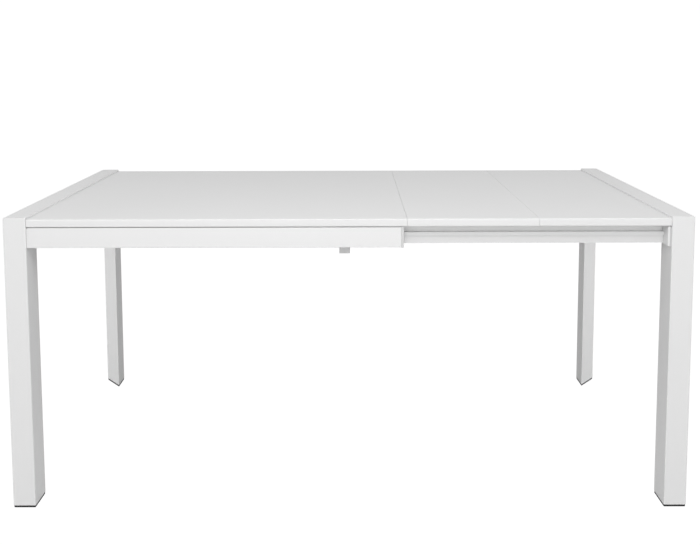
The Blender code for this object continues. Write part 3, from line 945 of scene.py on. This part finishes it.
@dataclass
class Board:
    """One board of the top: rounded long edges, almost sharp ends and a backed underside."""

    node: str
    body: Body
    edge_radius: float = 0.003
    joint_arris: float = 0.0004
    steps: int = 5
    band: float = 0.0016  # the width of the lacquered margin round the backing
    backing_slope: float = 0.0004  # the width of the step up to the backing
    backing_rise: float = 0.0003

    def build(self, palette: Palette) -> None:
        """Model and dress the board."""
        box = Box.of(self.node)
        work = Workpiece.block(f"{self.node}_board", box)
        work.pick_edges(lambda middle, direction: abs(direction.x) < ACROSS)
        self._weigh(self.joint_arris)
        work.pick_edges(lambda middle, direction: abs(direction.x) > ALONG)
        self._weigh(self.edge_radius)
        work.modifier(
            "BEVEL", limit_method="WEIGHT", width=self.edge_radius, segments=self.steps, profile=0.5
        )
        work.pick_faces(lambda middle, normal: normal.z < -ALONG)
        work.inset(self.band)
        work.inset(self.backing_slope, -self.backing_rise)
        board = work.finish()
        board.data.materials.append(palette["top"])
        board.data.materials.append(palette["backing"])
        sunk = box.low.z + self.backing_rise / 2
        for face in board.data.polygons:
            under = face.normal.z < -ALONG and face.center.z > sunk
            face.material_index = int(under)
        install(board, self.body, Slot.TOP, palette["top"], self.node)

    def _weigh(self, radius: float) -> None:
        """Give the picked edges the bevel weight of a radius."""
        bpy.ops.transform.edge_bevelweight(value=radius / self.edge_radius)


@dataclass
class ApronSection:
    """Where an apron's section lies, and how its measures turn into the frame's."""

    side: Side

    def __post_init__(self) -> None:
        """Read the apron's face and lower edge from the frame."""
        box = Box.of(f"{self.side.word}_apron")
        self.face = box.outer_y(self.side)
        self.edge = box.low.z
        self.height = box.size.z
        self.floor = box.size.y

    def flats(self, *measured: tuple[Pair, Pair]) -> list[tuple[Pair, Pair]]:
        """Return rectangles across X from rectangles measured in from the face and up from the edge."""
        turned = []
        for low, high in measured:
            ys = sorted(self.face - self.side.value * depth for depth in (low[0], high[0]))
            turned.append(((ys[0], self.edge + low[1]), (ys[1], self.edge + high[1])))
        return turned

    def depth(self, y: float) -> float:
        """Return how far in from the face a Y is."""
        return (self.face - y) * self.side.value


@dataclass
class Apron:
    """One apron: the extrusion that guides a rail, and the moulded cap on its mouth."""

    side: Side
    wall: float = 0.0025
    roof: float = 0.030
    rib_low: float = 0.0335
    rib_end: float = 0.037
    lip: float = 0.008
    face_radius: float = 0.0015
    die_arris: float = 0.00035
    cap_radius: float = 0.0006
    way_out_lip: Pair = (0.0255, 0.0233)  # how far in, and its lower edge
    way_out_box: Pair = (0.0315, 0.0023)  # the same
    way_out_web: Pair = (0.0375, 0.0335)  # how far in, and the top of the lip under it

    def build(self, palette: Palette) -> None:
        """Model and dress the apron and its cap."""
        self._extrusion(palette)
        self._mouth_cap(palette)

    def _extrusion(self, palette: Palette) -> None:
        """Make the extrusion: face, roof, rib, floor and lip."""
        node = f"{self.side.word}_apron"
        box = Box.of(node)
        section = ApronSection(self.side)
        wall, height, floor = self.wall, section.height, section.floor
        flats = section.flats(
            ((0, 0), (wall, height)),
            ((0, height - wall), (self.roof, height)),
            ((0, self.rib_low), (self.rib_end, self.rib_low + wall)),
            ((0, 0), (floor, wall)),
            ((floor - wall, 0), (floor, self.lip)),
        )
        work = Workpiece.section(f"{node}_extrusion", Axis.X, flats, (box.low.x, box.high.x))

        def on_face(middle: Vector, direction: Vector) -> bool:
            """Return whether an edge runs along the apron's face."""
            return abs(direction.x) > ALONG and section.depth(middle.y) < wall / 2

        work.pick_edges(on_face, SHARP)
        work.bevel(self.face_radius, 4)
        work.pick_edges(lambda middle, direction: abs(direction.x) > ALONG, SHARP)
        work.bevel(self.die_arris, 2)
        install(work.finish(), Body.FIXED_FRAME, Slot.APRON, palette["apron"], node)

    def _mouth_cap(self, palette: Palette) -> None:
        """Make the cap, with the way out for the rail."""
        node = f"{self.side.word}_mouth_cap"
        box = Box.of(node)
        section = ApronSection(self.side)
        low, high = box.low.z - section.edge, box.high.z - section.edge
        face = min(section.depth(box.low.y), section.depth(box.high.y))
        lip, lip_low = self.way_out_lip
        rail_box, floor_top = self.way_out_box
        web, lip_top = self.way_out_web
        flats = section.flats(
            ((face, low), (lip, high)),
            ((lip, lip_top), (self.roof, high)),
            ((self.roof, lip_top), (web, lip_top + self.wall)),
            ((lip, low), (rail_box, lip_low)),
            ((rail_box, low), (section.floor, floor_top)),
        )
        work = Workpiece.section(f"{node}_moulding", Axis.X, flats, (box.low.x, box.high.x))
        work.arris(self.cap_radius, 3)
        install(work.finish(), Body.FIXED_FRAME, Slot.NYLON, palette["nylon"], node)


@dataclass
class Tube:
    """A rectangular tube across the table."""

    node: str
    body: Body
    wall: float = 0.002
    edge_radius: float = 0.0016
    saw_arris: float = 0.0002

    def build(self, palette: Palette) -> None:
        """Model and dress the tube."""
        box = Box.of(self.node)
        low, high = (box.low.x, box.low.z), (box.high.x, box.high.z)
        wall = self.wall
        flats = (
            (low, (high[0], low[1] + wall)),
            ((low[0], high[1] - wall), high),
            (low, (low[0] + wall, high[1])),
            ((high[0] - wall, low[1]), high),
        )
        work = Workpiece.section(f"{self.node}_tube", Axis.Y, flats, (box.low.y, box.high.y))

        def outer(middle: Vector, direction: Vector) -> bool:
            """Return whether an edge is one of the tube's four long outer ones."""
            depth = min(abs(middle.x - low[0]), abs(middle.x - high[0]))
            return abs(direction.y) > ALONG and depth < wall / 2

        work.pick_edges(outer, SHARP)
        work.bevel(self.edge_radius, 4)
        work.arris(self.saw_arris)
        install(work.finish(), self.body, Slot.RAIL, palette["bar"], self.node)


@dataclass
class CrossMember:
    """The fixed bar across the table near the aprons' mouths, with the angles that hold it."""

    angle_wall: float = 0.003
    angle_arris: float = 0.0005

    def build(self, palette: Palette, screw: Screw) -> None:
        """Model and dress the bar, its angles and their screws."""
        Tube("cross_member", Body.FIXED_FRAME).build(palette)
        for side in Side:
            node = f"{side.word}_cross_angle"
            box = Box.of(node)
            outer = box.outer_y(side)
            flats = []
            for reach in (box.size.y, self.angle_wall):
                ys = sorted((outer, outer - side.value * reach))
                x_high = box.low.x + (self.angle_wall if reach > self.angle_wall else box.size.x)
                flats.append(((box.low.x, ys[0]), (x_high, ys[1])))
            work = Workpiece.section(f"{node}_bracket", Axis.Z, flats, (box.low.z, box.high.z))
            work.arris(self.angle_arris, 3)
            install(work.finish(), Body.FIXED_FRAME, Slot.STEEL, palette["steel"], node)
            middle = box.centre
            seats = (
                (Vector((box.low.x + self.angle_wall, middle.y, middle.z)), Vector((1, 0, 0))),
                (
                    Vector((middle.x, outer - side.value * self.angle_wall, middle.z)),
                    Vector((0, -side.value, 0)),
                ),
            )
            for number, (seat, towards) in enumerate(seats, 1):
                made = screw.drive(f"{side.word}_cross_angle_screw_{number}", seat, towards)
                install(made, Body.FIXED_FRAME, Slot.STEEL, palette["steel"])


@dataclass
class Rail:
    """One rail of the moving portal, with the plate and screws that hold it there."""

    side: Side
    lip_front: float = 0.026
    lip_low: float = 0.0238
    lip_high: float = 0.0330
    box_front: float = 0.032
    web_front: float = 0.038
    wall: float = 0.002
    edge_radius: float = 0.0004
    saw_arris: float = 0.0002
    plate_radius: float = 0.0010
    head_height: float = 0.003
    shank_radius: float = 0.0025

    def build(self, palette: Palette) -> None:
        """Model and dress the rail, its plate and the plate's screws."""
        self._extrusion(palette)
        self._plate(palette)
        nodes = [f"{self.side.word}_plate_screw_{number}" for number in (1, 2)]
        size = Box.of(nodes[0]).size
        screw = Screw(size.y / 2, self.head_height, self.shank_radius, size.x - self.head_height)
        for node in nodes:
            box = Box.of(node)
            seat = Vector((box.low.x + self.head_height, box.centre.y, box.centre.z))
            made = screw.drive(f"{node}_turned", seat, Vector((-1, 0, 0)))
            install(made, Body.MOVING_PORTAL, Slot.STEEL, palette["steel"], node)

    def _extrusion(self, palette: Palette) -> None:
        """Make the rail: a hollow box, a lip over it and a web up to the leaves."""
        node = f"{self.side.word}_rail"
        box = Box.of(node)
        section = ApronSection(self.side)
        back = max(section.depth(box.low.y), section.depth(box.high.y))
        low, high = box.low.z - section.edge, box.high.z - section.edge
        flats = section.flats(
            ((self.box_front, low), (back, low + self.wall)),
            ((self.box_front, low), (self.box_front + self.wall, self.lip_low)),
            ((back - self.wall, low), (back, self.lip_low)),
            ((self.lip_front, self.lip_low), (back, self.lip_high)),
            ((self.web_front, self.lip_high), (back, high)),
        )
        work = Workpiece.section(f"{node}_extrusion", Axis.X, flats, (box.low.x, box.high.x))
        work.pick_edges(lambda middle, direction: abs(direction.x) > ALONG, SHARP)
        work.bevel(self.edge_radius, 3)
        work.arris(self.saw_arris)
        install(work.finish(), Body.MOVING_PORTAL, Slot.RAIL, palette["rail"], node)

    def _plate(self, palette: Palette) -> None:
        """Make the plate between the rail and the portal, whole where the screws' heads cover its holes."""
        node = f"{self.side.word}_rail_plate"
        box = Box.of(node)
        work = Workpiece.block(f"{node}_pressing", box)
        work.arris(self.plate_radius, 3)
        install(work.finish(), Body.MOVING_PORTAL, Slot.APRON, palette["apron"], node)


@dataclass
class TieBar:
    """The bar that ties the rails' inner ends, with its plugs and hangers."""

    arm: float = 0.047
    hanger_wall: float = 0.003
    hanger_step: float = 0.009  # up from the apron's edge to its thick part
    hanger_arris: float = 0.0006
    plug_radius: float = 0.0010
    tongue_inset: float = 0.0026
    cap_gap: float = 0.0003
    screw_spacing: float = 0.013

    def build(self, palette: Palette, screw: Screw) -> None:
        """Model and dress the bar, its plugs, its hangers and their screws."""
        Tube("tie_bar", Body.MOVING_PORTAL).build(palette)
        for side in Side:
            self._plug(side, palette)
            self._hanger(side, palette, screw)

    def _plug(self, side: Side, palette: Palette) -> None:
        """Make one plug: a cap with a rounded rim, and the tongue that holds it in the bar."""
        node = f"{side.word}_tie_plug"
        box = Box.of(node)
        outer = box.outer_y(side)
        cap_back = Box.of("tie_bar").outer_y(side) + side.value * self.cap_gap
        ys = sorted((outer, cap_back))
        cap = Box(Vector((box.low.x, ys[0], box.low.z)), Vector((box.high.x, ys[1], box.high.z)))
        work = Workpiece.block(f"{node}_moulding", cap)
        work.pick_faces(lambda middle, normal: normal.y * side.value < -ALONG)
        work.inset(self.tongue_inset)
        tongue = abs(box.size.y - abs(outer - cap_back))
        work.extrude(Vector((0, -side.value * tongue, 0)))
        work.arris(self.plug_radius, 3)
        install(work.finish(), Body.MOVING_PORTAL, Slot.NYLON, palette["nylon"], node)

    def _hanger(self, side: Side, palette: Palette, screw: Screw) -> None:
        """Make one hanger, from the rail's back to the top of the bar, with its two screws."""
        node = f"{side.word}_tie_hanger"
        box = Box.of(node)
        section = ApronSection(side)
        near = min(section.depth(box.low.y), section.depth(box.high.y))
        far = max(section.depth(box.low.y), section.depth(box.high.y))
        low, high = box.low.z - section.edge, box.high.z - section.edge
        arm, back, step = self.arm, self.arm + self.hanger_wall, self.hanger_step
        flats = section.flats(
            ((near, step), (back, high)),
            ((arm, low), (back, step)),
            ((arm, low), (far, low + self.hanger_wall)),
        )
        work = Workpiece.section(f"{node}_bracket", Axis.X, flats, (box.low.x, box.high.x))
        work.arris(self.hanger_arris, 3)
        install(work.finish(), Body.MOVING_PORTAL, Slot.RAIL, palette["bar"], node)
        y = section.face - side.value * back
        z = section.edge + (step + high) / 2
        for number, along in enumerate((-1, 1), 1):
            seat = Vector((box.centre.x + along * self.screw_spacing / 2, y, z))
            made = screw.drive(f"{side.word}_hanger_screw_{number}", seat, Vector((0, -side.value, 0)))
            install(made, Body.MOVING_PORTAL, Slot.STEEL, palette["steel"])


@dataclass
class Leaf:
    """One loose leaf: a board with two battens that keep it between the rails."""

    number: int
    batten_radius: float = 0.0015
    screws: int = 3
    screw_inset: float = 0.030

    def build(self, palette: Palette, screw: Screw) -> None:
        """Model and dress the leaf."""
        body = Body(f"leaf_{self.number}")
        Board(f"{body.value}_panel", body).build(palette)
        for side in Side:
            node = f"{body.value}_{side.word}_batten"
            box = Box.of(node)
            work = Workpiece.block(f"{node}_strip", box)
            work.arris(self.batten_radius, 3)
            install(work.finish(), body, Slot.WOOD, palette["wood"], node)
            run = box.size.x - 2 * self.screw_inset
            for place in range(self.screws):
                x = box.low.x + self.screw_inset + run * place / (self.screws - 1)
                seat = Vector((x, box.centre.y, box.low.z))
                made = screw.drive(f"{node}_screw_{place + 1}", seat, Vector((0, 0, -1)))
                install(made, body, Slot.STEEL, palette["steel"])


@dataclass
class KeptNodes:
    """The frame's nodes whose shape is right as it is, and their finishes."""

    nodes: dict[str, bpy.types.Object]
    finishes: tuple[tuple[str, str], ...] = (
        ("corner_plate", "steel"),
        ("apron_plate", "apron"),
        ("mouth_glide", "nylon"),
        ("rail_glide", "nylon"),
        ("plate_shim", "nylon"),
        ("top_spacer", "nylon"),
    )

    def dress(self, palette: Palette) -> None:
        """Give each node that is still shown its finish."""
        for name, thing in sorted(self.nodes.items()):
            if thing.hide_render:
                continue
            finish = next(finish for words, finish in self.finishes if words in name)
            for slot in thing.material_slots:
                slot.material = palette[finish]
            LOG.info("%s kept, in %s", name, finish)


@dataclass(frozen=True)
class Lamp:
    """A soft studio light."""

    name: str
    place: tuple[float, float, float]
    aim: tuple[float, float, float]
    size: Pair
    power: float
    spread: float = 180.0  # in degrees

    def build(self) -> None:
        """Hang the light."""
        clear_selection()
        aim = Vector(self.aim) - Vector(self.place)
        bpy.ops.object.light_add(
            type="AREA", location=self.place, rotation=aim.to_track_quat("-Z", "Y").to_euler()
        )
        light = bpy.context.object
        light.name = self.name
        light.data.shape = "RECTANGLE"
        light.data.size, light.data.size_y = self.size
        light.data.energy = self.power
        light.data.spread = math.radians(self.spread)
        light.visible_camera = False


@dataclass
class Studio:
    """A pale room: a camera, a floor, an even surround and soft lights."""

    camera_place: tuple[float, float, float] = (0.0096, -2.3505, 1.1630)
    lens: float = 41.16
    pitch: float = math.radians(4.858)
    yaw: float = math.radians(0.15)
    roll: float = math.radians(-0.169)
    shift: float = -0.2214
    floor_half: float = 14.0
    floor_height: float = -0.0004
    floor_tone: float = 0.87
    floor_glow: float = 0.75
    mottle_width: float = 0.30
    bounce: float = 0.60
    surround: float = 0.57
    backdrop: float = 1.02
    lamps: tuple[Lamp, ...] = (
        Lamp("front_light", (0.0, -5.0, 1.2), (0.0, 0.0, 0.5), (4.0, 2.4), 60.0),
        Lamp("key_light", (0.0, -1.5, 2.1), (0.0, -0.3, 0.7), (2.0, 0.8), 14.0),
        Lamp("left_light", (-4.5, -1.0, 2.8), (0.0, 0.0, 0.7), (2.5, 2.0), 31.0),
        Lamp("right_light", (4.5, -1.0, 2.8), (0.0, 0.0, 0.7), (2.5, 2.0), 31.0),
        Lamp("left_leg_light", (-1.9, -0.95, 0.75), (-0.83, 0.37, 0.35), (0.5, 1.0), 0.45, 45.0),
        Lamp("right_leg_light", (1.9, -0.95, 0.75), (0.83, 0.37, 0.35), (0.5, 1.0), 0.45, 45.0),
    )

    def build(self) -> None:
        """Set up the studio."""
        bpy.context.scene.view_settings.view_transform = "Standard"
        self._camera()
        self._floor()
        self._surround()
        for lamp in self.lamps:
            lamp.build()

    def _camera(self) -> None:
        """Place the camera in front of the table, a little above its top."""
        clear_selection()
        bpy.ops.object.camera_add(location=self.camera_place)
        camera = bpy.context.object
        camera.name = "camera"
        turn = (
            Matrix.Rotation(self.yaw, 4, "Z")
            @ Matrix.Rotation(math.pi / 2 - self.pitch, 4, "X")
            @ Matrix.Rotation(self.roll, 4, "Z")
        )
        camera.matrix_world = Matrix.Translation(self.camera_place) @ turn
        camera.data.sensor_width = 36.0
        camera.data.lens = self.lens
        camera.data.shift_y = self.shift
        bpy.context.scene.camera = camera

    def _floor(self) -> None:
        """Lay a white floor for the camera and a duller one that throws light up, just under the feet."""
        floors = (("floor", self.floor_tone, self.floor_glow), ("floor_bounce", self.bounce, 0.0))
        for name, tone, glow in floors:
            clear_selection()
            bpy.ops.mesh.primitive_plane_add(size=2 * self.floor_half, location=(0, 0, self.floor_height))
            floor = bpy.context.object
            floor.name = name
            bench, material = NodeBench.for_material(name)
            mottle = bench.noise(bench.place(), self.mottle_width, detail=3.0)
            bench.surface(
                {
                    "Base Color": bench.tones(mottle, (tone * 0.98,) * 3, (tone,) * 3),
                    "Roughness": 0.9,
                    "Specular IOR Level": 0.1,
                    "Emission Color": (1.0, 1.0, 1.0, 1.0),
                    "Emission Strength": glow,
                }
            )
            floor.data.materials.append(material)
            floor.visible_camera = name == "floor"
            floor.visible_diffuse = name != "floor"
            floor.visible_glossy = name != "floor"
            floor.visible_shadow = name != "floor"

    def _surround(self) -> None:
        """Make the even surround, which is white where the camera sees it."""
        world = bpy.data.worlds.new("surround")
        bpy.context.scene.world = world
        world.use_nodes = True
        bench = NodeBench(world.node_tree)
        seen = bench.node("ShaderNodeLightPath", output="Is Camera Ray")
        strength = seen * (self.backdrop - self.surround) + self.surround
        light = bench.node("ShaderNodeBackground", sockets={"Color": (1, 1, 1, 1), "Strength": strength})
        bench.node("ShaderNodeOutputWorld", sockets={"Surface": light})


def main() -> None:
    """Build the table's looks around its frame."""
    logging.basicConfig(level=logging.INFO, format="%(name)s: %(message)s")
    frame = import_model()
    Studio().build()
    palette = Palette()
    small_screw = Screw(head_radius=0.0030, head_height=0.0018, shank_radius=0.0016, shank=0.0)
    Portal(End.LEFT, Body.FIXED_FRAME).build(palette)
    Portal(End.RIGHT, Body.MOVING_PORTAL).build(palette)
    Board("fixed_top", Body.FIXED_FRAME).build(palette)
    for side in Side:
        Apron(side).build(palette)
        Rail(side).build(palette)
    CrossMember().build(palette, small_screw)
    TieBar().build(palette, small_screw)
    for number in (1, 2):
        Leaf(number).build(palette, small_screw)
    KeptNodes(frame["nodes"]).dress(palette)


if __name__ == "__main__":
    main()
